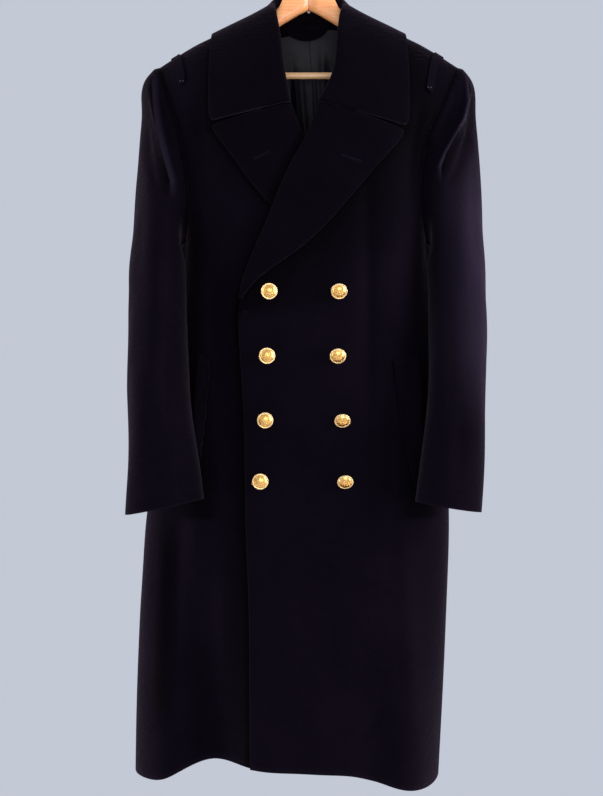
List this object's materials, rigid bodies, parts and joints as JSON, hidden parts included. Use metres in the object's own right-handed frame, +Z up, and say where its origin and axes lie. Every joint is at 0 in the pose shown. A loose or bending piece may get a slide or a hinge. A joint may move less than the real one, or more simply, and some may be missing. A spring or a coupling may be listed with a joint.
{
  "type": "bridge coat on a wooden hanger",
  "caption": "Long dark navy double-breasted wool overcoat with wide lapels and domed metal buttons, hung on a plain wooden hanger that holds it from a rail.",
  "frame": {"origin": "inside top of the hanger's hook, where a rail bears on it", "axes": "+Z up, -Y out of the coat's front, +X to the right as seen from the front"},
  "size_m": [0.553, 0.2684, 1.2925],
  "materials": {
    "wool": "heavy napped wool melton",
    "lining": "satin lining",
    "button": "polished gilt",
    "wood": "varnished beech",
    "steel": "plated wire"
  },
  "bodies": {
    "root": {"front_over": "wool", "front_under": "wool", "back_left": "wool", "back_right": "wool", "sleeve_left": "wool", "sleeve_right": "wool", "collar": "wool", "lapel_over": "wool", "lapel_under": "wool", "pocket_welt_left": "wool", "pocket_welt_right": "wool", "shoulder_loop_left": "wool", "shoulder_loop_right": "wool", "neck_facing": "wool", "neck_loop": "wool", "lining_left": "lining", "lining_right": "lining", "button_left_1": "button", "button_right_1": "button", "button_left_2": "button", "button_right_2": "button", "button_left_3": "button", "button_right_3": "button", "button_left_4": "button", "button_right_4": "button", "hanger_arm_left": "wood", "hanger_arm_right": "wood", "hanger_bar": "wood", "hanger_hook": "steel", "hanger_nut": "steel"}
  },
  "joints": []
}
